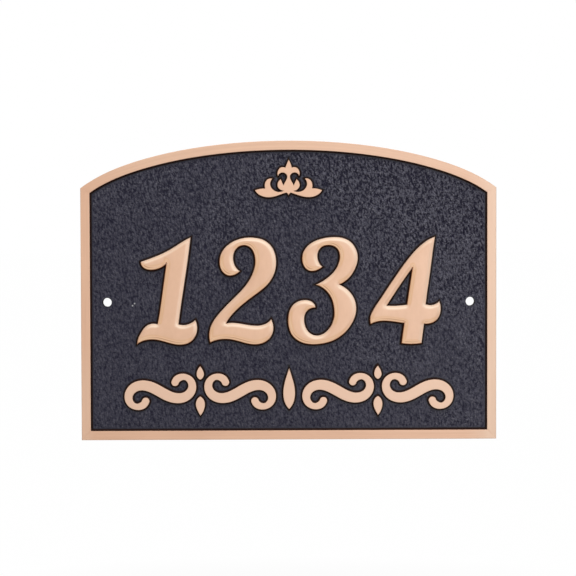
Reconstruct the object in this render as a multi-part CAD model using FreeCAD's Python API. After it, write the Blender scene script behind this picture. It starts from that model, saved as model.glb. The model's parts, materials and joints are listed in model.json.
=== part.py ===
import FreeCAD, Part
import math
import os
from FreeCAD import Vector

# House number plaque, one bronze casting that hangs flat on a wall.
# The origin is on the back face, midway between the two screw holes.
# X runs to the viewer's right, Z runs up, and the front faces -Y.
# Outlines are drawn on the X-Z plane as spans between sharp corners, with the
# metal on the left of the way that they run.

# Driving dimensions of the plate, in millimetres. The arch is the top of an ellipse
# that reaches past the plate's sides by the overhang.
PLATE_WIDTH = 304.8
SHOULDER_HEIGHT = 184.9
ARCH_RISE = 34.4
ARCH_OVERHANG = 15.1
FIELD_THICKNESS = 4.8
BORDER_WIDTH = 6.7
BORDER_RELIEF = 2.4
FLANK_WIDTH = 1.1
EDGE_BREAK = 0.4

# Screw holes
HOLE_DIAMETER = 6.5
HOLE_FROM_SIDE = 19.05
HOLE_FROM_BOTTOM = 101.2

# Numerals. Their bevels and flanks are shares of their height, like their strokes.
NUMERAL_HEIGHT = 78.6
NUMERAL_FROM_BOTTOM = 69.9
NUMERAL_GAP = 8.7
NUMERAL_RELIEF = 3.4
BEVEL_SHARE = 0.028
BEVEL_DROP = 1.2
NUMERAL_FLANK_SHARE = 0.014

# Ornament under the arch. Its flanks are a share of its width, like its notches.
ORNAMENT_WIDTH = 49.0
ORNAMENT_BELOW_ARCH = 13.9
ORNAMENT_RELIEF = 2.4
ORNAMENT_FLANK_SHARE = 0.0224

# Scrollwork under the numerals, two scrolls to each side of the middle leaf
SCROLL_FROM_BOTTOM = 35.4
SCROLL_RELIEF = 2.4
SCROLL_EYE_RADIUS = 6.2
SCROLL_SLOPE = math.radians(-30)
SCROLL_TURN = math.radians(280)
SCROLL_GAP = 5.9
MIDDLE_GAP = 19.3
STROKE_WIDTH = 7.8
STROKE_END_WIDTH = 2.6
BALL_WIDTH = 5.4
BALL_START = 0.78

# Leaves of the scrollwork, with the height of their feet over its middle line
MIDDLE_LEAF_LENGTH = 30.0
MIDDLE_LEAF_WIDTH = 8.6
MIDDLE_LEAF_FOOT = -13.0
UPPER_LEAF_LENGTH = 9.8
UPPER_LEAF_WIDTH = 5.4
UPPER_LEAF_FOOT = 8.9
LOWER_LEAF_LENGTH = 14.0
LOWER_LEAF_WIDTH = 6.6
LOWER_LEAF_FOOT = -3.6

# How an outline is followed when it is set out or in: how finely its curves are sampled,
# the turn in radians and the lengths in millimetres from one kept point to the next,
# and how far a sharp tip may grow as a share of the distance
ARCH_POINTS = 9
SAMPLES_PER_POINT = 4
TURN_PER_POINT = 0.4
SHORTEST_STEP = 0.4
LONGEST_STEP = 8.0
BLUNT_TIP = 1.4
PARALLEL = 1e-9
ON_PLANE = 0.01
UP = math.pi / 2


def cross(a, b):
    return a[0] * b[1] - a[1] * b[0]


def minus(a, b):
    return (a[0] - b[0], a[1] - b[1])


def along(a, direction, k):
    return (a[0] + direction[0] * k, a[1] + direction[1] * k)


def smooth_curve(points, y=0.0):
    """The smooth curve through (x, z) points, or through points that also hold their place."""
    through = [Vector(point[0], y, point[1]) for point in points]
    if len(points) == 2:
        return Part.LineSegment(through[0], through[1])
    curve = Part.BSplineCurve()
    if len(points[0]) > 2:
        curve.interpolate(Points=through, Parameters=[point[2] for point in points])
    else:
        curve.interpolate(Points=through)
    return curve


def set_out(span, distance):
    """A span moved away from the metal, as (x, z, place along the old span, heading) points."""
    count = len(span) - 1
    if count > 1:
        count = count * SAMPLES_PER_POINT
    curve = smooth_curve(span)
    start = curve.FirstParameter
    step = (curve.LastParameter - start) / count
    points = []
    place = 0.0
    for i in range(count + 1):
        if i > 0:
            place += curve.length(start + step * (i - 1), start + step * i)
        point = curve.value(start + step * i)
        tangent = curve.tangent(start + step * i)[0]
        x = point.x + tangent.z * distance
        z = point.z - tangent.x * distance
        points.append((x, z, place, math.atan2(tangent.z, tangent.x)))
    return points


def crossing(first, second):
    """Where the end of one span crosses the start of the next, or None where they part.

    The far end of each span is left out, because two spans may also meet there.
    """
    for i in range(len(first) - 2, min(0, len(first) - 3), -1):
        run = minus(first[i + 1], first[i])
        for j in range(max(1, len(second) - 2)):
            other = minus(second[j + 1], second[j])
            slant = cross(run, other)
            if abs(slant) < PARALLEL:
                continue
            gap = minus(second[j], first[i])
            t = cross(gap, other) / slant
            u = cross(gap, run) / slant
            if 0 <= t <= 1 and 0 <= u <= 1:
                return i + t, j + u, along(first[i], run, t)
    return None


def cut_point(points, index, meeting):
    """The point where a span is cut at a fractional index."""
    i = int(index)
    place = points[i][2] + (points[i + 1][2] - points[i][2]) * (index - i)
    return (meeting[0], meeting[1], place, points[i][3])


def join(first, second, corner, distance):
    """Trims or lengthens two moved spans so that they meet again at their old corner."""
    found = crossing(first, second)
    if found:
        i, j, meeting = found
        end = cut_point(first, i, meeting)
        start = cut_point(second, j, meeting)
        return first[:int(i) + 1] + [end], [start] + second[int(j) + 1:]
    middle = along(first[-1], minus(second[0], first[-1]), 0.5)
    inset = math.dist(middle, corner)
    mitre = distance * distance / inset
    reach = min(mitre, abs(distance) * BLUNT_TIP)
    tip = along(corner, minus(middle, corner), reach / inset)
    last = first[-1]
    next_up = second[0]
    end = (tip[0], tip[1], last[2] + math.dist(tip, last[:2]), last[3])
    start = (tip[0], tip[1], next_up[2] - math.dist(tip, next_up[:2]), next_up[3])
    return first + [end], [start] + second


def thin_out(points):
    """Keeps only the points that a smooth curve needs, one for each part of a turn."""
    kept = [points[0]]
    turned = 0.0
    for i in range(1, len(points) - 1):
        turned += abs(math.remainder(points[i][3] - points[i - 1][3], 2 * math.pi))
        room = min(points[i][2] - kept[-1][2], points[-1][2] - points[i][2])
        far = points[i][2] - kept[-1][2] > LONGEST_STEP
        if room > SHORTEST_STEP and (turned > TURN_PER_POINT or far):
            kept.append(points[i])
            turned = 0.0
    return kept + [points[-1]]


def grown(contour, distance):
    """A closed outline set out by a distance, or in where it is negative."""
    spans = [set_out(span, distance) for span in contour]
    if distance:
        for i in range(len(spans)):
            k = (i + 1) % len(spans)
            spans[i], spans[k] = join(spans[i], spans[k], contour[k][0], distance)
    return [thin_out(span) for span in spans]


def wire(contour, y):
    return Part.Wire([smooth_curve(span, y).toShape() for span in contour])


def raised(outline_at, levels):
    """A solid through an outline's growth at each height over the field."""
    wires = []
    for distance, height in levels:
        wires.append(wire(outline_at(distance), -(FIELD_THICKNESS + height)))
    return Part.makeLoft(wires, True, True)


def raised_contour(contour, levels):
    return raised(lambda distance: grown(contour, distance), levels)


def moved(contour, x, z, scale=1.0):
    return [[(x + px * scale, z + pz * scale) for px, pz in span] for span in contour]


def mirrored(contour):
    """The outline reflected left to right, still with the metal on its left."""
    return [[(-x, z) for x, z in reversed(span)] for span in reversed(contour)]


def arch_height(x):
    """Height of the arched top over the shoulders."""
    half_span = PLATE_WIDTH / 2 + ARCH_OVERHANG
    edge = math.sqrt(1 - (PLATE_WIDTH / 2 / half_span) ** 2)
    here = math.sqrt(1 - (x / half_span) ** 2)
    return ARCH_RISE * (here - edge) / (1 - edge)


def plate_outline():
    half = PLATE_WIDTH / 2
    bottom = -HOLE_FROM_BOTTOM
    shoulder = bottom + SHOULDER_HEIGHT
    arch = []
    for i in range(ARCH_POINTS):
        x = half * math.cos(math.pi * i / (ARCH_POINTS - 1))
        arch.append((x, shoulder + arch_height(x)))
    return [
        [(-half, bottom), (half, bottom)],
        [(half, bottom), (half, shoulder)],
        arch,
        [(-half, shoulder), (-half, bottom)],
    ]


def plate():
    """The flat-backed plate with its raised border."""
    outline = plate_outline()
    depth = FIELD_THICKNESS + BORDER_RELIEF
    slab = Part.Face(wire(outline, 0.0)).extrude(Vector(0, -depth, 0))
    front = [edge for edge in slab.Edges if abs(edge.BoundBox.YMax + depth) < ON_PLANE]
    slab = slab.makeChamfer(EDGE_BREAK, front)
    rim = grown(outline, -BORDER_WIDTH)
    floor = grown(outline, -BORDER_WIDTH - FLANK_WIDTH)
    wires = [wire(floor, -FIELD_THICKNESS), wire(rim, -depth)]
    return slab.cut(Part.makeLoft(wires, True, True))


# Outlines of the numerals, drawn a thousand squares high. Each is a list of closed outlines.

ONE = [[
    [(38, 775), (60, 725), (110, 702), (180, 705), (236, 726), (278, 765)],
    [(278, 765), (262, 650), (236, 470), (212, 300), (192, 192)],
    [(192, 192), (140, 198), (82, 172), (36, 110), (10, 55), (0, 6)],
    [(0, 6), (60, 38), (130, 50), (210, 42), (290, 20), (360, 4), (425, 1),
     (485, 18), (532, 60), (558, 115), (562, 170), (545, 232)],
    [(545, 232), (505, 203), (460, 187), (388, 192)],
    [(388, 192), (404, 310), (430, 480), (468, 725), (488, 870), (505, 1003)],
    [(505, 1003), (425, 960), (330, 900), (230, 848), (130, 808), (38, 775)],
]]

TWO = [[
    [(290, 686), (253, 721), (230, 780), (231, 842), (253, 890), (287, 918), (331, 927),
     (375, 915), (411, 875), (430, 809), (431, 758), (417, 684), (375, 600), (312, 515),
     (224, 427), (114, 313), (51, 236), (11, 155), (0, 78), (10, 19)],
    [(10, 19), (62, 41), (143, 52), (224, 45), (298, 26), (371, 6), (437, 1), (503, 14),
     (562, 54), (595, 111), (600, 173), (580, 237)],
    [(580, 237), (540, 203), (492, 181), (430, 177), (342, 188), (246, 203), (159, 198)],
    [(159, 198), (184, 243), (224, 291), (298, 361), (386, 431), (459, 486), (533, 544),
     (584, 611), (617, 684), (628, 765), (621, 838), (591, 908), (540, 960), (474, 989),
     (386, 1000), (298, 989), (224, 960), (158, 912), (114, 846), (99, 780), (110, 713),
     (143, 666), (195, 644), (246, 655), (290, 686)],
]]

THREE = [[
    [(322, 724), (293, 758), (276, 810), (281, 862), (304, 899), (345, 922), (389, 926),
     (434, 914), (468, 881), (483, 825), (475, 765), (449, 706), (404, 654), (352, 609),
     (259, 558)],
    [(259, 558), (308, 538), (360, 497), (401, 438), (423, 371), (430, 304), (423, 229),
     (393, 162), (345, 110), (285, 84), (226, 92), (181, 129), (155, 192), (151, 252),
     (170, 304), (207, 334), (255, 343)],
    [(255, 343), (241, 382), (203, 408), (151, 415), (92, 401), (39, 360), (6, 289),
     (1, 214), (13, 133), (54, 66), (121, 21), (196, 2), (270, 2), (360, 13), (449, 51),
     (531, 110), (590, 185), (628, 267), (635, 348), (617, 430), (576, 490), (479, 558)],
    [(479, 558), (538, 594), (598, 654), (635, 728), (652, 803), (639, 877), (598, 944),
     (538, 985), (464, 1000), (389, 1000), (308, 985), (226, 952), (166, 899), (133, 825),
     (136, 765), (162, 713), (203, 687), (248, 687), (322, 724)],
]]

FOUR = [
    [
        [(610, 1003), (522, 958), (415, 862), (308, 728), (198, 570), (105, 430), (42, 335),
         (6, 262), (8, 188)],
        [(8, 188), (80, 212), (160, 218), (240, 208), (322, 197)],
        [(322, 197), (308, 100), (296, 8)],
        [(296, 8), (390, 0), (484, 8)],
        [(484, 8), (496, 100), (508, 190)],
        [(508, 190), (560, 192), (612, 214), (648, 258), (664, 325), (650, 400)],
        [(650, 400), (612, 374), (570, 364), (524, 372)],
        [(524, 372), (540, 500), (562, 650), (588, 850), (610, 1003)],
    ],
    [
        [(400, 715), (382, 600), (364, 480), (347, 368)],
        [(347, 368), (285, 363), (222, 358), (158, 360)],
        [(158, 360), (222, 458), (304, 580), (400, 715)],
    ],
]

NUMERALS = [ONE, TWO, THREE, FOUR]
SQUARES = 1000


def numeral_width(glyph):
    return max(x for span in glyph[0] for x, z in span) * NUMERAL_HEIGHT / SQUARES


def numeral(glyph, left):
    """One numeral with a flat top and a bevelled edge, its left edge at x = left."""
    levels = [
        (NUMERAL_FLANK_SHARE * NUMERAL_HEIGHT, 0.0),
        (0.0, NUMERAL_RELIEF - BEVEL_DROP),
        (-BEVEL_SHARE * NUMERAL_HEIGHT, NUMERAL_RELIEF),
    ]
    bottom = NUMERAL_FROM_BOTTOM - HOLE_FROM_BOTTOM
    scale = NUMERAL_HEIGHT / SQUARES
    solid = raised_contour(moved(glyph[0], left, bottom, scale), levels)
    for counter in glyph[1:]:
        solid = solid.cut(raised_contour(moved(counter, left, bottom, scale), levels))
    return solid


def numerals():
    """The row of numerals, centred on the plate."""
    row = sum(numeral_width(glyph) for glyph in NUMERALS) + NUMERAL_GAP * (len(NUMERALS) - 1)
    left = -row / 2
    solids = []
    for glyph in NUMERALS:
        solids.append(numeral(glyph, left))
        left += numeral_width(glyph) + NUMERAL_GAP
    return solids


# Left half of the ornament, drawn ten squares to a millimetre, from its spire to its foot
ORNAMENT_HALF = [
    [(0, 260), (-12, 239), (-20, 219), (-24, 201)],
    [(-24, 201), (-46, 205), (-66, 196), (-79, 173), (-81, 153), (-76, 141)],
    [(-76, 141), (-62, 161), (-42, 166), (-22, 158), (-11, 141), (-13, 121), (-25, 96), (-37, 70)],
    [(-37, 70), (-44, 86), (-50, 102), (-58, 117)],
    [(-58, 117), (-74, 100), (-81, 74), (-73, 51), (-56, 40), (-35, 32)],
    [(-35, 32), (-66, 24), (-98, 30), (-123, 50), (-135, 78), (-131, 102), (-119, 121)],
    [(-119, 121), (-145, 120), (-165, 104), (-174, 80), (-172, 49)],
    [(-172, 49), (-209, 47), (-245, 36)],
    [(-245, 36), (-225, 11), (-193, -7), (-153, -15), (-106, -10), (-58, 6), (-16, 19)],
    [(-16, 19), (-8, 13), (0, 0)],
]


def ornament():
    """The traditional bud between two winged scrolls under the crown of the arch."""
    contour = ORNAMENT_HALF + mirrored(ORNAMENT_HALF)
    half_width = max(x for span in contour for x, z in span)
    scale = ORNAMENT_WIDTH / 2 / half_width
    top = max(z for span in contour for x, z in span) * scale
    crown = SHOULDER_HEIGHT + ARCH_RISE - HOLE_FROM_BOTTOM
    placed = moved(contour, 0.0, crown - ORNAMENT_BELOW_ARCH - top, scale)
    levels = [(ORNAMENT_FLANK_SHARE * ORNAMENT_WIDTH, 0.0), (0.0, ORNAMENT_RELIEF)]
    return [raised_contour(placed, levels)]


def scroll_line():
    """Centre line of one lying S, which curls tighter and tighter from its middle to its eyes."""
    steps = 240
    keep_every = 24
    half_length = SCROLL_TURN * SCROLL_EYE_RADIUS * math.pi / 2
    step = half_length / steps
    x = 0.0
    z = 0.0
    half = [(x, z, SCROLL_SLOPE)]
    for i in range(1, steps + 1):
        middle = SCROLL_SLOPE + SCROLL_TURN * (1 - math.cos(math.pi / 2 * (i - 0.5) / steps))
        heading = SCROLL_SLOPE + SCROLL_TURN * (1 - math.cos(math.pi / 2 * i / steps))
        x += math.cos(middle) * step
        z += math.sin(middle) * step
        half.append((x, z, heading))
    half = half[::keep_every]
    return [(-x, -z, heading) for x, z, heading in reversed(half[1:])] + half


def stroke_half_width(share):
    """Half of the stroke's width, from its middle at 0 to its end at 1."""
    width = STROKE_END_WIDTH + (STROKE_WIDTH - STROKE_END_WIDTH) * (1 - share * share)
    if share > BALL_START:
        swell = (share - BALL_START) / (1 - BALL_START)
        width += (BALL_WIDTH - STROKE_END_WIDTH) * swell * swell * (3 - 2 * swell)
    return width / 2


def stroke(line, distance):
    """Outline of a swelling stroke with round ends, grown by a distance."""
    middle = (len(line) - 1) / 2
    right = []
    left = []
    for i in range(len(line)):
        x, z, heading = line[i]
        half = stroke_half_width(abs(i - middle) / middle) + distance
        right.append((x + math.sin(heading) * half, z - math.cos(heading) * half, i))
        left.append((x - math.sin(heading) * half, z + math.cos(heading) * half, -i))
    half = BALL_WIDTH / 2 + distance
    return [right, cap(line[-1], 0.0, half), left[::-1], cap(line[0], math.pi, half)]


def cap(end, turn, radius):
    """The half circle that closes a stroke at one end."""
    x, z, heading = end
    points = []
    for eighth in (-2, -1, 0, 1, 2):
        angle = heading + turn + eighth * math.pi / 4
        points.append((x + math.cos(angle) * radius, z + math.sin(angle) * radius, eighth))
    return points


def leaf(x, z, length, width, heading):
    """A pointed leaf from its foot at (x, z), widest at two fifths of its length."""
    profile = [(0.0, 0.0), (0.18, 0.78), (0.4, 1.0), (0.7, 0.66), (1.0, 0.0)]
    right = []
    left = []
    for share, bulge in profile:
        px = x + math.cos(heading) * length * share
        pz = z + math.sin(heading) * length * share
        out = bulge * width / 2
        right.append((px + math.sin(heading) * out, pz - math.cos(heading) * out))
        left.append((px - math.sin(heading) * out, pz + math.cos(heading) * out))
    return [right, left[::-1]]


def placed_line(line, x, flip_x, flip_z):
    """The centre line at its place, reflected where a flip is -1."""
    middle = SCROLL_FROM_BOTTOM - HOLE_FROM_BOTTOM
    points = []
    for px, pz, heading in line:
        turned = math.atan2(math.sin(heading) * flip_z, math.cos(heading) * flip_x)
        points.append((x + px * flip_x, middle + pz * flip_z, turned))
    return points


def leaves(between):
    """The middle leaf, and an upright and a hanging leaf between the scrolls of each side."""
    middle = SCROLL_FROM_BOTTOM - HOLE_FROM_BOTTOM
    foot = middle + MIDDLE_LEAF_FOOT
    contours = [leaf(0.0, foot, MIDDLE_LEAF_LENGTH, MIDDLE_LEAF_WIDTH, UP)]
    for x in (-between, between):
        upper_foot = middle + UPPER_LEAF_FOOT
        lower_foot = middle + LOWER_LEAF_FOOT
        contours.append(leaf(x, upper_foot, UPPER_LEAF_LENGTH, UPPER_LEAF_WIDTH, UP))
        contours.append(leaf(x, lower_foot, LOWER_LEAF_LENGTH, LOWER_LEAF_WIDTH, -UP))
    return contours


def scrollwork():
    """Two lying S scrolls and their leaves to each side of the middle."""
    levels = [(FLANK_WIDTH, 0.0), (0.0, SCROLL_RELIEF)]
    line = scroll_line()
    reach = max(x for span in stroke(line, 0.0) for x, z, place in span)
    inner = MIDDLE_GAP / 2 + reach
    outer = inner + 2 * reach + SCROLL_GAP
    solids = []
    for side in (-1, 1):
        for x, flip in ((inner, 1), (outer, -1)):
            placed = placed_line(line, x * side, side, flip)
            solids.append(raised(lambda distance: stroke(placed, distance), levels))
    for contour in leaves((inner + outer) / 2):
        solids.append(raised_contour(contour, levels))
    return solids


def screw_hole(x):
    return Part.makeCylinder(HOLE_DIAMETER / 2, FIELD_THICKNESS, Vector(x, 0, 0), Vector(0, -1, 0))


def casting():
    body = plate()
    for solid in numerals() + ornament() + scrollwork():
        body = body.fuse(solid)
    hole_x = PLATE_WIDTH / 2 - HOLE_FROM_SIDE
    for x in (-hole_x, hole_x):
        body = body.cut(screw_hole(x))
    return body


os.makedirs("parts", exist_ok=True)
casting().exportStep("parts/plaque.step")
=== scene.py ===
import json
import math

import bmesh
import bpy
import numpy as np
from mathutils import Matrix, Vector, geometry, kdtree, noise


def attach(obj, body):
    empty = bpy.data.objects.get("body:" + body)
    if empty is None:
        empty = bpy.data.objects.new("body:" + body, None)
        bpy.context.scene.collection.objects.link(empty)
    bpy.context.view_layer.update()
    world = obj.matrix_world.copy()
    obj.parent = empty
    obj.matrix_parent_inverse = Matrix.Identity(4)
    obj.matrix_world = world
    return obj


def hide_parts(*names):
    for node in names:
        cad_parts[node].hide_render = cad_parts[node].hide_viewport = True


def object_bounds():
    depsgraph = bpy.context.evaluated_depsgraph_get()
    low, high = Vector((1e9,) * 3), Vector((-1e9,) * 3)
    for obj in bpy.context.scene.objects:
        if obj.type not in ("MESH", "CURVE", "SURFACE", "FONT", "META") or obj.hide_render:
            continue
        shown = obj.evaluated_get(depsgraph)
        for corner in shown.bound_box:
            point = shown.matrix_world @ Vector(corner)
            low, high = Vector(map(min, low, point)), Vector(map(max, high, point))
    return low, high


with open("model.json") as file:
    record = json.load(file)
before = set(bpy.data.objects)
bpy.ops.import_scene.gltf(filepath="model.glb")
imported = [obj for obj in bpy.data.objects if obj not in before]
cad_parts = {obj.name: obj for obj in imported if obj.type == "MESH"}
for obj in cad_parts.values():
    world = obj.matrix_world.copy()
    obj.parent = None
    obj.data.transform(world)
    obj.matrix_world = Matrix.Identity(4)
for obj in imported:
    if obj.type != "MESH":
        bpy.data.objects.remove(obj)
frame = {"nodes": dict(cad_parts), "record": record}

CAD_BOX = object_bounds()
MM = 0.001

# Camera, fitted to the plaque's corners and holes in the photograph
IMAGE_SIZE = 576
SENSOR = 36.0
FOCAL_PIXELS = 1762.7
CAMERA_DISTANCE = 1.3
CAMERA_ELEVATION = math.radians(1.80)
CAMERA_AZIMUTH = math.radians(-0.65)
CAMERA_ROLL = math.radians(-0.16)
CAMERA_AIM = Vector((-0.00055, 0.0, 0.0100))

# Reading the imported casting, in metres. A tilt is how far a face looks forward, from 0 to 1.
WELD = 1e-6
SAME = 1e-5
CORNER_TURN = math.radians(24)
UPRIGHT_TILT = 0.01
FLANK_TILT = 0.1
BEVEL_TILT = 0.65
FLAT_TILT = 0.999

# Zones of the front
OUTSIDE, FIELD, FLANK, TOP, HOLE = range(5)

# Material slots of the casting
BRUSHED, SCULPTED, FLAT_RELIEF, PAINTED_FLANK, STIPPLED, CAST_BACK = range(6)
ZONE_SLOTS = {FIELD: STIPPLED, FLANK: PAINTED_FLANK}

# How closely the new front is set with points. The triangles' slack is in millimetres.
OUTLINE_STEP = 0.8 * MM
SEARCH_STEP = 0.2 * MM
FIELD_STEP = 1.0 * MM
FIELD_JITTER = 0.16
FIELD_SEED = 11
CLOSEST = 0.12 * MM
RING_SLACK = 0.05 * MM
SHARPEST_LEAN = 0.3
TRIANGLE_SLACK = 1e-6

# Rings of points beside the outlines, at these distances in millimetres: on the rounded edges,
# on the numerals' bevels with the share of the bevel's drop left there, and on the field
EDGE_ROUND = 0.35 * MM
EDGE_DROP = 0.22 * MM
EDGE_RINGS = (0.15, 0.35, 0.6)
BEVEL_AT = (0.0, 0.15, 0.4, 1.0, 1.5, 2.1, 3.0, 4.0)
BEVEL_DROP = (1.0, 0.68, 0.43, 0.35, 0.30, 0.09, 0.03, 0.0)
FOOT_RINGS = (0.6, 1.1)

# Cast texture of the field. It calms down near the relief, between these distances in
# millimetres. It gets stronger with its lean, which drifts slowly and gains one over the lean's
# width to the right or its height upward.
STIPPLE_DEPTH = 0.24 * MM
CALM_FROM = 0.3
CALM_TO = 1.8
LEAST_STRENGTH = 0.5
ADDED_STRENGTH = 1.05
MOST_LEAN = 1.05
MIDDLE_LEAN = 0.45
LEAN_WIDTH = 300
LEAN_HEIGHT = 220
DRIFT_SHARE = 0.4
DRIFT_SCALE = 0.03
DRIFT_LAYER = 7.3

# The texture's pebbles, ridges and grains, with scales per millimetre and shares of its height
PEBBLE_SCALE = 0.62
PEBBLE_LAYER = 1.7
PEBBLE_WARP = 0.5
WARP_SCALE = 1.1
WARP_SHIFT = Vector((9, 0, 0))
PEBBLE_FALL = 2.2
PEBBLE_SHARE = 0.45
RIDGE_ACROSS = (0.55, 0.2)
RIDGE_UP = (-0.15, 0.42)
RIDGE_LAYER = 4.1
RIDGE_FALL = 2.4
RIDGE_SHARE = 0.35
GRAIN_SCALE = 1.4
GRAIN_LAYER = 2.2
GRAIN_SHARE = 0.3

# Edges that stay sharp in the smooth shading
SHARP_ANGLE = math.radians(28)
CREASE_ANGLE = math.radians(8)

# Brush marks along the sides of the border. The arch meets the sides on lines of its mitre's
# slope, and each side's streaks are shifted from the last one's.
LEFT, RIGHT, BOTTOM, ARCH = range(4)
ARCH_RADIUS = 0.26
ARCH_MITRE = 0.6
SIDE_SHIFT = 0.37

# Looks. Colours are linear light, and a texture is its scale, detail, roughness and stretch.
NOISE_MIDDLE = 0.5
BRONZE_METAL = 0.3
BRONZE_ROUGHNESS = 0.5
BRONZE_SPECULAR = 0.2
BRONZE_BUMP_STRENGTH = 0.5
COAT_ROUGHNESS = 0.33

# Brushed bronze of the border, with a painted sheen that makes it paler toward the right, on
# the arch and low on the sides
BRONZE_DARK = (0.675, 0.395, 0.255, 1.0)
BRONZE_LIGHT = (0.765, 0.465, 0.305, 1.0)
PAINTED_SHEEN_BRONZE = (0.75, 0.508, 0.360, 1.0)
STREAKS = (1.0, 3.0, 0.6, (9.0, 650.0, 1.0))
STREAK_PATCHES = (18.0, 2.0, 0.5)
STREAK_SHARES = (0.7, 0.3)
STREAK_CONTRAST = (0.35, 0.65)
STREAK_BUMP = 0.03 * MM
CORNER_BLEND = (0.008, 0.020)
PALE_ACROSS = (0.130, 0.152)
SIDES_OUT = (0.143, 0.148)
SIDES_BELOW = (-0.030, -0.060)
ARCH_ABOVE = (0.086, 0.102)
PAINTED_SHEEN_SHARE = 0.4

# Bronze rubbed by hand: the numerals, the ornament and the paler band at the foot
BRONZE_MIDDLE = (0.71, 0.430, 0.280, 1.0)
BRONZE_BRIGHT = (0.79, 0.495, 0.328, 1.0)
BRONZE_LOW = (0.78, 0.515, 0.365, 1.0)
MOTTLE = (260.0, 3.0, 0.55, (1.0, 1.0, 0.6))
MOTTLE_PATCHES = (24.0, 2.0, 0.5)
MOTTLE_SHARES = (0.4, 0.6)
MOTTLE_CONTRAST = (0.3, 0.7)
MOTTLE_BUMP = 0.01 * MM
BAND_BELOW = (0.06, -0.02)

# Painted light and shade on the numerals' bevels, each colour with the slopes between which it
# comes in. Slopes are positive on the upper and right bevels, which face the light: a warm
# painted shade and a dark painted crease shade on the lower and left bevels, painted light from
# below on their middle slopes, and a painted highlight on the upper and right bevels.
SIDEWAYS_SHARE = 0.5
UPWARD_SHARE = 0.85
PAINTED_WARM_SHADE = (0.76, 0.43, 0.20, 1.0)
PAINTED_WARM_SHADE_SLOPES = (-0.008, -0.05)
PAINTED_WARM_SHADE_SHARE = 0.45
PAINTED_LOWER_LIGHT = (0.86, 0.55, 0.34, 1.0)
PAINTED_LOWER_LIGHT_SLOPES = (-0.06, -0.14)
PAINTED_CREASE_SHADE = (0.48, 0.16, 0.03, 1.0)
PAINTED_CREASE_SHADE_SLOPES = (-0.18, -0.32)
PAINTED_HIGHLIGHT = (0.86, 0.65, 0.49, 1.0)
PAINTED_HIGHLIGHT_SLOPES = (0.02, 0.18)

# Paint on the flanks
FLANK_DARK = (0.018, 0.008, 0.007, 1.0)
FLANK_LIGHT = (0.038, 0.017, 0.014, 1.0)
FLANK_GRAIN = (700.0, 3.0)
FLANK_BUMP = 0.2 * MM
FLANK_ROUGHNESS = 0.9

# Paint on the field, worn on its grains, with painted highlights on the heights of its texture,
# painted shade in its pits and a painted sheen toward the right. Its lumps lean with the texture.
FIELD_DARK = (0.002, 0.001, 0.0145, 1.0)
FIELD_LIGHT = (0.112, 0.109, 0.142, 1.0)
FIELD_WORN = (0.200, 0.193, 0.218, 1.0)
# Painted shade on the field along the foot of the relief, and where it blends out, as shares of the
# distance to the first ring
PAINTED_FOOT_SHADE = (0.004, 0.003, 0.004, 1.0)
FOOT_SHADE_BLEND = (0.5, 1.0)
FIELD_LEAN = math.radians(10)
FIELD_STRETCH = (1.6, 1.0, 0.95)
LUMP_GRAIN = (850.0, 1.0, 0.5)
LUMP_RIDGES = (380.0, 2.0, 0.6)
LUMP_CLOUDS = (110.0, 2.0, 0.5)
LUMP_PEBBLE_SCALE = 400.0
LUMP_PEBBLE_RAMP = (0.85, 0.05)
LUMP_SHARES = (0.3, 0.42, 0.18, 0.1)
LUMP_CONTRAST = 0.5
LUMP_CONTRAST_COARSE = 3.1
# The tone's middle, and the shares in it of a painted sheen toward the right, of lighter paint where the
# texture is coarse, which offsets the shading of its bumps, and of painted highlights on the texture's
# heights with painted shade in its hollows
FIELD_TONE = 0.225
TONE_SHARES = (0.12, 0.085, 0.15)
PAINTED_SHEEN_ACROSS = (0.0, 0.15)
WORN_GRAIN = (900.0, 1.0)
WORN_RAMP = (0.58, 0.75)
FIELD_BUMP = 0.7 * MM
FIELD_ROUGHNESS = 0.3
FIELD_SPECULAR = 0.19

# Pale specks on the field, left of the numerals
SPECKS = ((-0.1148, -0.0049, -0.0025), (-0.1133, -0.0049, -0.0010))
SPECK_RADIUS = 0.7 * MM
SPECK_COLOUR = (0.9, 0.9, 0.9, 1.0)

# Bare metal of the back, as cast
BACK_DARK = (0.22, 0.13, 0.08, 1.0)
BACK_LIGHT = (0.38, 0.24, 0.15, 1.0)
BACK_GRAIN = (500.0, 4.0, 0.6)
BACK_CLOUDS = (20.0, 3.0, 0.5)
BACK_SHARES = (0.5, 0.5)
BACK_CONTRAST = (0.3, 0.7)
BACK_BUMP = 0.3 * MM
BACK_METAL = 0.6
BACK_ROUGHNESS = 0.6

# Studio: a lamp is its place, its width and height, and its power. The floor glows white, less
# so near the point under the plaque, where it shows a shadow.
KEY_LAMP = ((0.25, -1.1, 1.6), (1.3, 1.3), 26)
SHEEN_LAMP = ((0.55, -2.5, -0.05), (0.25, 0.75), 8)
WORLD_LIGHT = 0.25
WHITE = (1.0, 1.0, 1.0, 1.0)
FLOOR_COLOUR = (0.8, 0.8, 0.8, 1.0)
FLOOR_Z = -0.30
FLOOR_HALF = 30.0
FLOOR_GLOW = (0.85, 0.995)
FLOOR_GLOW_AT = (0.30, 0.60)


def welded_casting():
    """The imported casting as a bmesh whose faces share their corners."""
    bm = bmesh.new()
    bm.from_mesh(frame["nodes"]["plaque"].data)
    bmesh.ops.remove_doubles(bm, verts=bm.verts, dist=WELD)
    for name in ("stipple", "coarse", "bed"):
        bm.verts.layers.float.new(name)
    bm.verts.layers.int.new("crease")
    return bm


def screw_holes():
    """(x, z, radius) of each screw hole."""
    holes = []
    for mount in frame["record"]["mounts"]:
        if mount["kind"] == "bore":
            x, _, z = mount["pos_m"]
            holes.append((x, z, mount["dims"]["r_mm"] * MM))
    return holes


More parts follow.
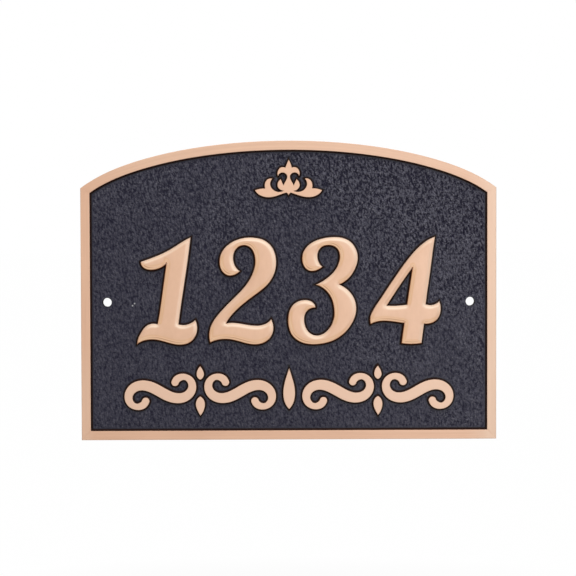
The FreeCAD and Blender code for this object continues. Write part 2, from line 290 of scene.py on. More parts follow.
def is_hole(outline, holes):
    """Whether an outline lies round a screw hole and within the square about it."""
    mid_x, mid_z = outline.points.mean(axis=0)
    for x, z, radius in holes:
        if math.hypot(mid_x - x, mid_z - z) < radius + MM and outline.size < 4 * radius ** 2:
            return True
    return False


def chains(edges):
    """Closed chains of vertices along the edges."""
    nearby = {}
    for edge in edges:
        a, b = edge.verts
        nearby.setdefault(a, []).append(b)
        nearby.setdefault(b, []).append(a)
    found = []
    left = set(nearby)
    for start in nearby:
        if start not in left:
            continue
        chain = [start]
        left.discard(start)
        while True:
            onward = [v for v in nearby[chain[-1]] if v in left]
            if not onward:
                break
            chain.append(onward[0])
            left.discard(onward[0])
        found.append(chain)
    return found


def area(points):
    """The area within a closed outline, negative where the outline runs clockwise."""
    x, z = points[:, 0], points[:, 1]
    return 0.5 * np.sum(x * np.roll(z, -1) - np.roll(x, -1) * z)


def sharp_corners(points):
    """Whether a closed outline has a sharp corner at each of its points."""
    before = points - np.roll(points, 1, axis=0)
    after = np.roll(points, -1, axis=0) - points
    turn = np.arctan2(before[:, 0] * after[:, 1] - before[:, 1] * after[:, 0], (before * after).sum(1))
    return np.abs(turn) > CORNER_TURN


def smoothed(points, step):
    """A closed outline followed by smooth curves between its corners, at about one step."""
    count = len(points)
    corner = sharp_corners(points)
    out = []
    for i in range(count):
        k = (i + 1) % count
        p1, p2 = points[i], points[k]
        run = np.linalg.norm(p2 - p1)
        p0 = points[i - 1] if not corner[i] else 2 * p1 - p2
        p3 = points[(k + 1) % count] if not corner[k] else 2 * p2 - p1
        m1 = (p2 - p0) / np.linalg.norm(p2 - p0) * run
        m2 = (p3 - p1) / np.linalg.norm(p3 - p1) * run
        parts = max(1, round(run / step))
        for j in range(parts):
            t = j / parts
            out.append(
                (2 * t ** 3 - 3 * t ** 2 + 1) * p1 + (t ** 3 - 2 * t ** 2 + t) * m1
                + (3 * t ** 2 - 2 * t ** 3) * p2 + (t ** 3 - t ** 2) * m2
            )
    return np.array(out)


def inside(points, outline):
    """Which points lie inside a closed outline."""
    result = np.zeros(len(points), bool)
    low, high = outline.min(0), outline.max(0)
    near = np.where(np.all((points > low) & (points < high), axis=1))[0]
    x, z = points[near, 0], points[near, 1]
    odd = np.zeros(len(near), bool)
    for a, b in zip(outline, np.roll(outline, -1, axis=0)):
        crosses = (a[1] > z) != (b[1] > z)
        if crosses.any():
            at = a[0] + (z[crosses] - a[1]) * (b[0] - a[0]) / (b[1] - a[1])
            odd[crosses] ^= x[crosses] < at
    result[near] = odd
    return result


class Outline:
    """A closed outline of the relief, with what lies just inside it.

    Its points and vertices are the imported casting's. Its path is drawn in the new front at its
    depth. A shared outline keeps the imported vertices, so that the old faces join it.
    """

    def __init__(self, points, y, verts):
        self.points = points
        self.y = y
        self.verts = verts
        self.size = area(points)
        self.zone = OUTSIDE
        self.outer = None
        self.path = points
        self.depth = y
        self.shared = True
        self.first = 0


def looks_flat(face):
    return -face.normal.y > FLAT_TILT


def flat_faces(bm, y):
    """The flat front-facing faces at one depth."""
    return [f for f in bm.faces if looks_flat(f) and abs(f.calc_center_median().y - y) < SAME]


def find_levels(bm):
    """Depths of the flat front-facing faces: the field, the low relief and the numerals' tops."""
    levels = set()
    for face in bm.faces:
        if looks_flat(face):
            levels.add(round(face.calc_center_median().y / SAME) * SAME)
    return sorted(levels, reverse=True)


def boundary(faces):
    """The edges round some faces, in the same order on each run."""
    chosen = set(faces)
    edges = []
    for face in faces:
        for edge in face.edges:
            if sum(other in chosen for other in edge.link_faces) == 1:
                edges.append(edge)
    return edges


def on_side(edge):
    """Whether an edge touches a wall that stands straight out from the back."""
    return any(abs(f.normal.y) < UPRIGHT_TILT for v in edge.verts for f in v.link_faces)


def bevel_feet(bm):
    """Edges of the numerals where their flanks end and their bevels begin, and their depth."""
    level = [e for e in bm.edges if abs(e.verts[0].co.y - e.verts[1].co.y) < SAME]
    depths = []
    for edge in level:
        low, high = sorted(-f.normal.y for f in edge.link_faces)
        if FLANK_TILT < low < BEVEL_TILT < high < FLAT_TILT and not on_side(edge):
            depths.append(edge.verts[0].co.y)
    foot_y = float(np.median(depths))
    found = []
    for edge in level:
        sides = [f.calc_center_median().y - foot_y for f in edge.link_faces]
        if abs(edge.verts[0].co.y - foot_y) < SAME and min(sides) < -SAME and max(sides) > SAME:
            found.append(edge)
    return found, foot_y


def find_outlines(bm):
    """Every outline of the relief from the largest down, and the depths of the relief."""
    field_y, relief_y, top_y = find_levels(bm)
    feet, foot_y = bevel_feet(bm)
    sets = [
        (field_y, boundary(flat_faces(bm, field_y))),
        (relief_y, boundary(flat_faces(bm, relief_y))),
        (foot_y, feet),
    ]
    outlines = []
    for y, edges in sets:
        for chain in chains(edges):
            points = np.array([(v.co.x, v.co.z) for v in chain])
            if area(points) < 0:
                chain = chain[::-1]
                points = points[::-1]
            outlines.append(Outline(points, y, chain))
    outlines.sort(key=lambda outline: -outline.size)
    set_zones(outlines, field_y)
    return outlines, (field_y, relief_y, foot_y, top_y)


def set_zones(outlines, field_y):
    """Notes what lies just inside each outline, by its depth and by the outline round it."""
    for i, outline in enumerate(outlines):
        around = [o for o in outlines[:i] if inside(outline.points[:1], o.points)[0]]
        outline.outer = around[-1] if around else None
        outer_zone = outline.outer.zone if outline.outer else OUTSIDE
        if outline.outer is None:
            outline.zone = TOP
        elif abs(outline.y - field_y) < SAME:
            outline.zone = FLANK if outer_zone == FIELD else FIELD
        else:
            outline.zone = TOP if outer_zone == FLANK else FLANK
    holes = screw_holes()
    for outline in outlines:
        if is_hole(outline, holes):
            outline.zone = HOLE


def zones_of(points, outlines):
    """(zone, number of the innermost outline) of each point."""
    zone = np.full(len(points), OUTSIDE)
    which = np.full(len(points), -1)
    for i, outline in enumerate(outlines):
        mask = inside(points, outline.path)
        zone[mask] = outline.zone
        which[mask] = i
    return zone, which


def follow(outlines, relief_y):
    """Gives each outline its path and the depth at which it is drawn."""
    for outline in outlines:
        outline.shared = outline.outer is None or outline.zone == HOLE
        if not outline.shared:
            outline.path = smoothed(outline.points, OUTLINE_STEP)
            if abs(outline.y - relief_y) < SAME:
                outline.depth = outline.y + EDGE_DROP


def beside(outline, distance):
    """The path of an outline moved square to itself, to its inside where the distance is positive."""
    run = np.roll(outline.path, -1, axis=0) - outline.path
    after = np.stack([-run[:, 1], run[:, 0]], axis=1) / np.linalg.norm(run, axis=1, keepdims=True)
    before = np.roll(after, 1, axis=0)
    lean = np.maximum(1 + (after * before).sum(axis=1, keepdims=True), SHARPEST_LEAN)
    return outline.path + (after + before) / lean * distance


def tree_of(outlines):
    """A search tree over close samples of some outlines."""
    samples = []
    for outline in outlines:
        for a, b in zip(outline.path, np.roll(outline.path, -1, axis=0)):
            parts = max(1, math.ceil(np.linalg.norm(b - a) / SEARCH_STEP))
            samples += [a + (b - a) * j / parts for j in range(parts)]
    tree = kdtree.KDTree(len(samples))
    for i, (x, z) in enumerate(samples):
        tree.insert((x, z, 0.0), i)
    tree.balance()
    return tree


def distances(tree, points):
    """How far each point is from the samples of a search tree."""
    return np.array([tree.find((x, z, 0.0))[2] for x, z in points])


def grid(low, high, step):
    """Jittered points of a triangular grid over a rectangle."""
    rng = np.random.default_rng(FIELD_SEED)
    rise = step * math.sqrt(3) / 2
    rows = np.arange(low[1], high[1], rise)
    points = []
    for i, z in enumerate(rows):
        x = np.arange(low[0] + (i % 2) * step / 2, high[0], step)
        points.append(np.stack([x, np.full(len(x), z)], axis=1))
    points = np.concatenate(points)
    return points + rng.uniform(-FIELD_JITTER, FIELD_JITTER, points.shape) * step


def ring_points(rims, steps, zone_kept, outlines):
    """Points in rings beside some outlines, on the side where the given zone lies."""
    tree = tree_of(rims)
    rings = []
    for rim in rims:
        inward = 1 if rim.zone == zone_kept else -1
        for step in steps:
            ring = beside(rim, inward * step * MM)
            rings.append(ring[distances(tree, ring) > step * MM - RING_SLACK])
    rings = np.concatenate(rings)
    zone, _ = zones_of(rings, outlines)
    return spread(rings[zone == zone_kept], CLOSEST)


def spread(points, closest):
    """The points without those that crowd a point kept before."""
    kept = []
    cells = {}
    for x, z in points:
        i, k = int(x // closest), int(z // closest)
        around = [(i + di, k + dk) for di in (-1, 0, 1) for dk in (-1, 0, 1)]
        near = [point for cell in around for point in cells.get(cell, ())]
        if all((px - x) ** 2 + (pz - z) ** 2 >= closest ** 2 for px, pz in near):
            cells.setdefault((i, k), []).append((x, z))
            kept.append((x, z))
    return np.array(kept).reshape(-1, 2)


def bevel_depth(distance, foot_y, top_y):
    """Depth of a numeral's face at a distance from its shoulder."""
    return top_y + (foot_y - top_y) * np.interp(distance / MM, BEVEL_AT, BEVEL_DROP)


def edge_depth(distance, relief_y):
    """Depth of a flat-topped relief at a distance from its softened shoulder."""
    rise = np.clip(1 - distance / EDGE_ROUND, 0, 1)
    return relief_y + EDGE_DROP * (1 - np.sqrt(1 - rise ** 2))


def stipple_strength(u, w):
    """How strong the field's texture is at a place in millimetres."""
    drift = noise.noise(Vector((u * DRIFT_SCALE, w * DRIFT_SCALE, DRIFT_LAYER)))
    lean = MIDDLE_LEAN + u / LEAN_WIDTH + w / LEAN_HEIGHT + DRIFT_SHARE * drift
    return LEAST_STRENGTH + ADDED_STRENGTH * max(0.0, min(MOST_LEAN, lean)) ** 2


def stipple_height(u, w):
    """Height of the field's texture at a place in millimetres, about -1 to 1."""
    place = Vector((u * PEBBLE_SCALE, w * PEBBLE_SCALE, PEBBLE_LAYER))
    warp_x = noise.noise(place * WARP_SCALE)
    warp_z = noise.noise(place * WARP_SCALE + WARP_SHIFT)
    nearest = noise.voronoi(place + PEBBLE_WARP * Vector((warp_x, warp_z, 0)))[0][0]
    across = u * RIDGE_ACROSS[0] + w * RIDGE_ACROSS[1]
    up = u * RIDGE_UP[0] + w * RIDGE_UP[1]
    pebbles = 1 - PEBBLE_FALL * nearest
    ridges = 1 - RIDGE_FALL * abs(noise.noise(Vector((across, up, RIDGE_LAYER))))
    grains = noise.noise(Vector((u * GRAIN_SCALE, w * GRAIN_SCALE, GRAIN_LAYER)))
    return PEBBLE_SHARE * pebbles + RIDGE_SHARE * ridges + GRAIN_SHARE * grains


def is_numeral(outline, foot_y):
    """Whether an outline is the shoulder of a numeral."""
    return abs(outline.y - foot_y) < SAME


def raised_points(outlines, levels):
    """Points beside the shoulders of the relief, on its tops, and their depths."""
    field_y, relief_y, foot_y, top_y = levels
    shoulders = [o for o in outlines if not o.shared and abs(o.y - field_y) > SAME]
    numerals = [o for o in shoulders if is_numeral(o, foot_y)]
    flat_topped = [o for o in shoulders if not is_numeral(o, foot_y)]
    tree = tree_of(shoulders)
    points = np.concatenate([
        ring_points(flat_topped, EDGE_RINGS, TOP, outlines),
        ring_points(numerals, BEVEL_AT[1:], TOP, outlines),
    ])
    points = points[distances(tree, points) > CLOSEST]
    _, which = zones_of(points, outlines)
    bevelled = np.array([is_numeral(o, foot_y) for o in outlines])[which]
    away = distances(tree, points)
    depths = np.where(bevelled, bevel_depth(away, foot_y, top_y), edge_depth(away, relief_y))
    return points, depths


def field_points(outlines, field_y):
    """Points of the field, and their distances in millimetres from the foot of the relief."""
    feet = [o for o in outlines if abs(o.y - field_y) < SAME]
    tree = tree_of(feet)
    rings = ring_points(feet, FOOT_RINGS, FIELD, outlines)
    points = grid(outlines[0].points.min(0), outlines[0].points.max(0), FIELD_STEP)
    zone, _ = zones_of(points, outlines)
    points = points[zone == FIELD]
    points = points[distances(tree, points) > FOOT_RINGS[-1] * MM + FIELD_STEP / 2]
    points = np.concatenate([rings, points])
    return points, distances(tree, points) / MM


def fixed_lines(outlines):
    """Pairs of points that stay joined: along each path, and at the corners of the border."""
    lines = []
    first = 0
    for outline in outlines:
        count = len(outline.path)
        lines += [(first + i, first + (i + 1) % count) for i in range(count)]
        outline.first = first
        first += count
    border, rim = outlines[:2]
    for corner in np.where(sharp_corners(border.path))[0]:
        nearest = np.argmin(np.linalg.norm(rim.path - border.path[corner], axis=1))
        lines.append((border.first + int(corner), rim.first + int(nearest)))
    return lines


def triangulated(points, lines):
    """Triangles between the points that keep the lines, as rows of three point numbers."""
    flat = [Vector((x / MM, z / MM)) for x, z in points]
    _, _, filled, origins, _, _ = geometry.delaunay_2d_cdt(flat, lines, [], 0, TRIANGLE_SLACK)
    source = [origin[0] for origin in origins]
    return np.array([[source[i] for i in face] for face in filled])


def texture(field, from_foot):
    """Height and strength of the field's texture at each point, calm near the relief."""
    fade = np.clip((from_foot - CALM_FROM) / (CALM_TO - CALM_FROM), 0, 1)
    strengths = np.array([stipple_strength(u, w) for u, w in field / MM])
    strengths = strengths * fade * fade * (3 - 2 * fade)
    heights = np.array([stipple_height(u, w) for u, w in field / MM]) * strengths
    return heights, strengths


def build_front(bm, outlines, levels):
    """Fills the front with new faces that follow the outlines."""
    field_y, relief_y, foot_y, top_y = levels
    follow(outlines, relief_y)
    raised, raised_depths = raised_points(outlines, levels)
    field, from_foot = field_points(outlines, field_y)
    heights, strengths = texture(field, from_foot)
    points = np.concatenate([outline.path for outline in outlines] + [raised, field])
    depths = [np.full(len(outline.path), outline.depth) for outline in outlines]
    depths = np.concatenate(depths + [raised_depths, field_y - STIPPLE_DEPTH * heights])
    plain = np.zeros(len(points) - len(field))
    values = {
        "stipple": np.concatenate([plain, heights]),
        "coarse": np.concatenate([plain, strengths]),
        "bed": np.concatenate([plain, np.minimum(from_foot / FOOT_RINGS[0], 1.0)]),
    }
    triangles = triangulated(points, fixed_lines(outlines))
    zone, which = zones_of(points[triangles].mean(axis=1), outlines)
    filled = (zone != OUTSIDE) & (zone != HOLE)

    remove_old_front(bm, outlines[0], field_y)
    verts = [None] * len(points)
    for outline in outlines:
        if outline.shared:
            verts[outline.first:outline.first + len(outline.verts)] = outline.verts
    floats = bm.verts.layers.float
    crease_layer = bm.verts.layers.int["crease"]
    for i in np.unique(triangles[filled]):
        if verts[i] is None:
            verts[i] = bm.verts.new((points[i, 0], depths[i], points[i, 1]))
            verts[i][crease_layer] = int(abs(depths[i] - top_y) < SAME)
            for name, value in values.items():
                verts[i][floats[name]] = value[i]
    slots = front_slots(outlines, foot_y)
    for (a, b, c), z, w in zip(triangles[filled], zone[filled], which[filled]):
        face = bm.faces.new((verts[a], verts[b], verts[c]))
        face.material_index = slots[w] if z == TOP else ZONE_SLOTS[z]


def front_slots(outlines, foot_y):
    """The material slot of the metal within each outline, of which the first is the border's."""
    slots = [SCULPTED if is_numeral(outline, foot_y) else FLAT_RELIEF for outline in outlines]
    slots[0] = BRUSHED
    return slots


def remove_old_front(bm, border, field_y):
    """Deletes the faces inside the border's front edge, and gives the others their materials."""
    front = []
    for face in bm.faces:
        centre = face.calc_center_median()
        within = inside(np.array([(centre.x, centre.z)]), border.points)[0]
        if within and centre.y < field_y + SAME:
            front.append(face)
        elif face.normal.y > FLAT_TILT:
            face.material_index = CAST_BACK
        elif within:
            face.material_index = PAINTED_FLANK
        else:
            face.material_index = BRUSHED
    bmesh.ops.delete(bm, geom=front, context="FACES")


def border_side(x, z, corners):
    """Which side of the border a point is on."""
    low, high = corners.min(0), corners.max(0)
    gaps = (x - low[0], high[0] - x, z - low[1])
    if z > high[1] - min(gaps[LEFT], gaps[RIGHT]) * ARCH_MITRE:
        return ARCH
    return int(np.argmin(gaps))


def lay_brush_marks(bm, corners, layer):
    """Writes how far along and across its own side of the border each face corner is."""
    for face in bm.faces:
        if face.material_index != BRUSHED:
            continue
        centre = face.calc_center_median()
        side = border_side(centre.x, centre.z, corners)
        for loop in face.loops:
            x, y, z = loop.vert.co
            if side == ARCH:
                angle = math.atan2(x, z + ARCH_RADIUS)
                along, across = angle * ARCH_RADIUS, math.hypot(x, z + ARCH_RADIUS)
            elif side == BOTTOM:
                along, across = x, z
            else:
                along, across = z, x
            loop[layer].uv = (along, across - y + side * SIDE_SHIFT)


def set_shading(bm):
    """Shades all faces smoothly, apart from sharp edges, creases and seams between materials."""
    crease_layer = bm.verts.layers.int["crease"]
    for face in bm.faces:
        face.smooth = True
    for edge in bm.edges:
        a, b = edge.link_faces
        angle = edge.calc_face_angle()
        crease = all(v[crease_layer] for v in edge.verts) and angle > CREASE_ANGLE
        seam = a.material_index != b.material_index
        edge.smooth = angle < SHARP_ANGLE and not crease and not seam


def make_casting():
    """The whole casting as one closed mesh, and the corners of its border."""
    bm = welded_casting()
    outlines, levels = find_outlines(bm)
    build_front(bm, outlines, levels)
    border = outlines[0].points
    corners = border[sharp_corners(border)]
    lay_brush_marks(bm, corners, bm.loops.layers.uv.new("brush"))
    bmesh.ops.recalc_face_normals(bm, faces=bm.faces)
    set_shading(bm)
    mesh = bpy.data.meshes.new("plaque_casting")
    bm.to_mesh(mesh)
    bm.free()
    casting = bpy.data.objects.new("plaque_casting", mesh)
    bpy.context.collection.objects.link(casting)
    return casting, corners


class Nodes:
    """Shorthand for building a material's or the world's node tree."""

    def __init__(self, tree):
        self.tree = tree
        tree.nodes.clear()

    def add(self, kind, inputs=(), **settings):
        node = self.tree.nodes.new(kind)
        for name, value in settings.items():
            setattr(node, name, value)
        for name, value in dict(inputs).items():
            self.put(node.inputs[name], value)
        return node

    def put(self, socket, value):
        if isinstance(value, bpy.types.NodeSocket):
            self.tree.links.new(value, socket)
        else:
            socket.default_value = value

    def place(self):
        return self.add("ShaderNodeNewGeometry").outputs["Position"]

    def attribute(self, name):
        return self.add("ShaderNodeAttribute", attribute_name=name).outputs["Fac"]

    def parts(self, vector):
        return self.add("ShaderNodeSeparateXYZ", {0: vector}).outputs

    def distance(self, place, point):
        return self.add("ShaderNodeVectorMath", {0: place, 1: point}, operation="DISTANCE").outputs["Value"]

    def math(self, operation, a, b=0.0, c=0.0, clamp=False):
        node = self.add("ShaderNodeMath", {0: a, 1: b, 2: c}, operation=operation, use_clamp=clamp)
        return node.outputs[0]

    def weigh(self, values, shares):
        """The sum of some values, each times its share."""
        total = 0.0
        for value, share in zip(values, shares):
            total = self.math("MULTIPLY_ADD", value, share, total)
        return total

    def mix(self, amount, a, b):
        """Colour a where the amount is 0, and b where it is 1. Sockets 6 and 7 are the colours."""
        node = self.add("ShaderNodeMix", data_type="RGBA")
        self.put(node.inputs[0], amount)
        self.put(node.inputs[6], a)
        self.put(node.inputs[7], b)
        return node.outputs[2]

    def ramp(self, value, low, high):
        """0 to 1 as the value goes from low to high."""
        node = self.add("ShaderNodeMapRange", {"Value": value, "From Min": low, "From Max": high})
        return node.outputs["Result"]

    def noise(self, vector, scale, detail, roughness=0.5, stretch=(1.0, 1.0, 1.0)):
        mapping = self.add("ShaderNodeMapping", {"Vector": vector, "Scale": stretch})
        inputs = {"Vector": mapping.outputs[0], "Scale": scale, "Detail": detail, "Roughness": roughness}
        return self.add("ShaderNodeTexNoise", inputs).outputs["Fac"]

    def bump(self, height, distance, strength=1.0):
        node = self.add("ShaderNodeBump", {"Height": height, "Distance": distance, "Strength": strength})
        return node.outputs[0]

    def finish(self, shader):
        out = self.add("ShaderNodeOutputMaterial")
        self.tree.links.new(shader.outputs[0], out.inputs["Surface"])


def new_material(name):
    material = bpy.data.materials.new(name)
    material.use_nodes = True
    return material, Nodes(material.node_tree)


def bronze_shader(n, shade, height, bump_distance):
    """Bronze under a thin coat of lacquer."""
    n.finish(n.add("ShaderNodeBsdfPrincipled", {
        "Base Color": shade, "Metallic": BRONZE_METAL, "Roughness": BRONZE_ROUGHNESS,
        "Specular IOR Level": BRONZE_SPECULAR, "Coat Weight": 1.0, "Coat Roughness": COAT_ROUGHNESS,
        "Normal": n.bump(height, bump_distance, BRONZE_BUMP_STRENGTH),
    }))


def brushed_bronze(corners):
    """Bronze with fine streaks along each side of the border, which fade at its corners, and a painted
    sheen: paler toward the right, on the arch and low on the sides.
    """
    material, n = new_material("brushed_bronze")
    place = n.place()
    clear = 1.0
    for x, z in corners:
        away = n.distance(place, (x, CAD_BOX[0][1], z))
        clear = n.math("MULTIPLY", n.ramp(away, *CORNER_BLEND), clear)
    streaks = n.noise(n.add("ShaderNodeUVMap", uv_map="brush").outputs[0], *STREAKS)
    streaks = n.math("MULTIPLY_ADD", n.math("SUBTRACT", streaks, NOISE_MIDDLE), clear, NOISE_MIDDLE)
    tone = n.weigh((streaks, n.noise(place, *STREAK_PATCHES)), STREAK_SHARES)
    shade = n.mix(n.ramp(tone, *STREAK_CONTRAST), BRONZE_DARK, BRONZE_LIGHT)
    # Painted sheen: the border is made paler toward the right, on the arch and low on the sides, where more
    # light falls
    across, _, up = n.parts(place)
    sides = n.ramp(n.math("ABSOLUTE", across), *SIDES_OUT)
    wear_and_sheen = n.math("MULTIPLY_ADD", n.ramp(up, *SIDES_BELOW), sides, n.ramp(up, *ARCH_ABOVE))
    wear_and_sheen = n.math("MULTIPLY_ADD", wear_and_sheen, PAINTED_SHEEN_SHARE, n.ramp(across, *PALE_ACROSS))
    bronze_shader(n, n.mix(wear_and_sheen, shade, PAINTED_SHEEN_BRONZE), streaks, STREAK_BUMP)
    return material


def mottled(n, place):
    """(shade, fine mottling) of bronze that was rubbed by hand."""
    mottle = n.noise(place, *MOTTLE)
    tone = n.weigh((mottle, n.noise(place, *MOTTLE_PATCHES)), MOTTLE_SHARES)
    return n.mix(n.ramp(tone, *MOTTLE_CONTRAST), BRONZE_MIDDLE, BRONZE_BRIGHT), mottle


def sculpted_bronze():
    """Bronze of the numerals, with painted highlights on its upper and right bevels, and painted shade,
    partly lifted by painted light from below, on its lower and left ones.
    """
    material, n = new_material("sculpted_bronze")
    surface = n.add("ShaderNodeNewGeometry")
    shade, mottle = mottled(n, surface.outputs["Position"])
    aside, _, up = n.parts(surface.outputs["Normal"])
    # The mixes below paint light and shade on the bevels by the way each faces the light from above and to
    # the right: a warm painted shade on slightly lower and left slopes, painted light from below on steeper
    # ones, a dark painted shade on the steepest, and a painted highlight on the upper and right slopes
    slope = n.math("MULTIPLY_ADD", aside, SIDEWAYS_SHARE, n.math("MULTIPLY", up, UPWARD_SHARE))
    shade = n.mix(n.math("MULTIPLY", n.ramp(slope, *PAINTED_WARM_SHADE_SLOPES), PAINTED_WARM_SHADE_SHARE), shade, PAINTED_WARM_SHADE)
    shade = n.mix(n.ramp(slope, *PAINTED_LOWER_LIGHT_SLOPES), shade, PAINTED_LOWER_LIGHT)
    shade = n.mix(n.ramp(slope, *PAINTED_CREASE_SHADE_SLOPES), shade, PAINTED_CREASE_SHADE)
    shade = n.mix(n.ramp(slope, *PAINTED_HIGHLIGHT_SLOPES), shade, PAINTED_HIGHLIGHT)
    bronze_shader(n, shade, mottle, MOTTLE_BUMP)
    return material


def flat_relief_bronze():
    """Bronze of the ornament and of the paler band at the foot."""
    material, n = new_material("flat_relief_bronze")
    place = n.place()
    shade, mottle = mottled(n, place)
    shade = n.mix(n.ramp(n.parts(place)["Z"], *BAND_BELOW), shade, BRONZE_LOW)
    bronze_shader(n, shade, mottle, MOTTLE_BUMP)
    return material


def painted_flank():
    """Dull dark paint on the flanks of the relief and in the screw holes."""
    material, n = new_material("flank_paint")
    grain = n.noise(n.place(), *FLANK_GRAIN)
    n.finish(n.add("ShaderNodeBsdfPrincipled", {
        "Base Color": n.mix(grain, FLANK_DARK, FLANK_LIGHT), "Roughness": FLANK_ROUGHNESS,
        "Specular IOR Level": 0.0, "Normal": n.bump(grain, FLANK_BUMP),
    }))
    return material


def field_lumps(n, place, coarse):
    """Fine lumps in the field's paint about 0, larger where the cast texture is coarse."""
    turned = n.add("ShaderNodeVectorRotate", {"Vector": place, "Angle": FIELD_LEAN}, rotation_type="Y_AXIS")
    leaning = n.add("ShaderNodeMapping", {"Vector": turned.outputs[0], "Scale": FIELD_STRETCH}).outputs[0]
    pebbles = n.add("ShaderNodeTexVoronoi", {"Vector": leaning, "Scale": LUMP_PEBBLE_SCALE})
    lumps = n.weigh((
        n.noise(place, *LUMP_GRAIN),
        n.noise(leaning, *LUMP_RIDGES),
        n.ramp(pebbles.outputs["Distance"], *LUMP_PEBBLE_RAMP),
        n.noise(place, *LUMP_CLOUDS),
    ), LUMP_SHARES)
    contrast = n.math("MULTIPLY_ADD", coarse, LUMP_CONTRAST_COARSE, LUMP_CONTRAST)
    return n.math("MULTIPLY", n.math("SUBTRACT", lumps, NOISE_MIDDLE), contrast)


def stippled_field():
    """Dark paint of the field, with painted highlights on the heights of its texture, painted shade in its
    pits and along the flanks, and a painted sheen toward the right.
    """
    material, n = new_material("field_paint")
    place = n.place()
    coarse = n.attribute("coarse")
    lumps = field_lumps(n, place, coarse)
    # Painted light and shade in the tone: a painted sheen toward the right, lighter paint where the texture
    # is coarse to offset the shading of its bumps, and painted highlights on the texture's heights with
    # painted shade in its hollows
    across = n.ramp(n.parts(place)["X"], *PAINTED_SHEEN_ACROSS)
    level = n.weigh((across, coarse, n.attribute("stipple")), TONE_SHARES)
    # The lumps add the paint's own mottling together with painted shade in the pits and painted highlights
    # on the heights, stronger where the texture is coarse
    tone = n.math("ADD", lumps, n.math("ADD", level, FIELD_TONE), clamp=True)
    wear_and_sheen = n.ramp(n.noise(place, *WORN_GRAIN), *WORN_RAMP)
    shade = n.mix(tone, FIELD_DARK, n.mix(wear_and_sheen, FIELD_LIGHT, FIELD_WORN))
    for speck in SPECKS:
        shade = n.mix(n.ramp(n.distance(place, speck), SPECK_RADIUS, 0.0), shade, SPECK_COLOUR)
    # Painted shade: the field darkens close to the foot of the relief
    shade = n.mix(n.ramp(n.attribute("bed"), *FOOT_SHADE_BLEND), PAINTED_FOOT_SHADE, shade)
    n.finish(n.add("ShaderNodeBsdfPrincipled", {
        "Base Color": shade, "Roughness": FIELD_ROUGHNESS, "Specular IOR Level": FIELD_SPECULAR,
        "Normal": n.bump(lumps, FIELD_BUMP),
    }))
    return material


def cast_back():
    """Bare rough metal of the back."""
    material, n = new_material("cast_back")
    place = n.place()
    grain = n.noise(place, *BACK_GRAIN)
    tone = n.weigh((grain, n.noise(place, *BACK_CLOUDS)), BACK_SHARES)
    n.finish(n.add("ShaderNodeBsdfPrincipled", {
        "Base Color": n.mix(n.ramp(tone, *BACK_CONTRAST), BACK_DARK, BACK_LIGHT),
        "Metallic": BACK_METAL, "Roughness": BACK_ROUGHNESS, "Normal": n.bump(grain, BACK_BUMP),
    }))
    return material


def add_lamp(name, place, size, power):
    """A rectangular lamp that shines on the plaque and that the camera doesn't see."""
    light = bpy.data.lights.new(name, "AREA")
    light.shape = "RECTANGLE"
    light.size, light.size_y = size
    light.energy = power
    lamp = bpy.data.objects.new(name, light)
    lamp.location = place
    lamp.rotation_euler = (-Vector(place)).to_track_quat("-Z", "Y").to_euler()
    lamp.visible_camera = False
    bpy.context.collection.objects.link(lamp)


def seen_directly(n):
    """1 for the rays that look at the background or reflect it, 0 for those that light the object."""
    path = n.add("ShaderNodeLightPath")
    seen = n.math("ADD", path.outputs["Is Camera Ray"], path.outputs["Is Glossy Ray"], clamp=True)
    return n.math("ADD", seen, path.outputs["Is Transmission Ray"], clamp=True)


def make_world():
    """A white background that lights the object only dimly."""
    world = bpy.data.worlds.new("studio")
    world.use_nodes = True
    n = Nodes(world.node_tree)
    strength = n.math("MULTIPLY_ADD", seen_directly(n), 1.0 - WORLD_LIGHT, WORLD_LIGHT)
    back = n.add("ShaderNodeBackground", {"Color": WHITE, "Strength": strength})
    out = n.add("ShaderNodeOutputWorld")
    n.tree.links.new(back.outputs[0], out.inputs["Surface"])
    bpy.context.scene.world = world


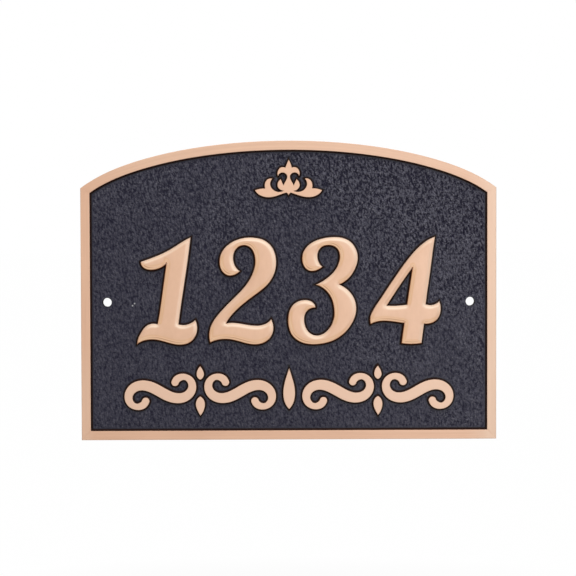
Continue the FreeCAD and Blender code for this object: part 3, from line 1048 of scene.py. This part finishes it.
def make_floor():
    """A wide floor under the plaque, white to the camera."""
    mesh = bpy.data.meshes.new("floor")
    signs = ((-1, -1), (1, -1), (1, 1), (-1, 1))
    corners = [(x * FLOOR_HALF, y * FLOOR_HALF, FLOOR_Z) for x, y in signs]
    mesh.from_pydata(corners, [], [(0, 1, 2, 3)])
    floor = bpy.data.objects.new("floor", mesh)
    bpy.context.collection.objects.link(floor)
    material, n = new_material("floor")
    pale = n.add("ShaderNodeBsdfDiffuse", {"Color": FLOOR_COLOUR}).outputs[0]
    white = n.add("ShaderNodeEmission", {"Color": WHITE, "Strength": 1.0}).outputs[0]
    away = n.ramp(n.distance(n.place(), (0, 0, FLOOR_Z)), *FLOOR_GLOW_AT)
    near, far = FLOOR_GLOW
    share = n.math("MULTIPLY", seen_directly(n), n.math("MULTIPLY_ADD", away, far - near, near))
    n.finish(n.add("ShaderNodeMixShader", {0: share, 1: pale, 2: white}))
    mesh.materials.append(material)


def make_camera():
    """A camera at the photograph's place, roll and focal length."""
    back = Vector((
        math.sin(CAMERA_AZIMUTH) * math.cos(CAMERA_ELEVATION),
        -math.cos(CAMERA_AZIMUTH) * math.cos(CAMERA_ELEVATION),
        math.sin(CAMERA_ELEVATION),
    ))
    right = (-back).cross(Vector((0, 0, 1))).normalized()
    up = right.cross(-back)
    rolled_right = right * math.cos(CAMERA_ROLL) + up * math.sin(CAMERA_ROLL)
    rolled_up = up * math.cos(CAMERA_ROLL) - right * math.sin(CAMERA_ROLL)
    data = bpy.data.cameras.new("camera")
    data.sensor_width = SENSOR
    data.lens = FOCAL_PIXELS / IMAGE_SIZE * SENSOR
    camera = bpy.data.objects.new("camera", data)
    turn = Matrix((rolled_right, rolled_up, back)).transposed().to_4x4()
    camera.matrix_world = Matrix.Translation(CAMERA_AIM + back * CAMERA_DISTANCE) @ turn
    bpy.context.collection.objects.link(camera)
    bpy.context.scene.camera = camera


casting, corners = make_casting()
for material in (
    brushed_bronze(corners),
    sculpted_bronze(),
    flat_relief_bronze(),
    painted_flank(),
    stippled_field(),
    cast_back(),
):
    casting.data.materials.append(material)
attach(casting, "root")
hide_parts("plaque")

make_world()
make_floor()
add_lamp("key", *KEY_LAMP)
add_lamp("sheen", *SHEEN_LAMP)
make_camera()

bpy.context.scene.view_settings.view_transform = "Standard"
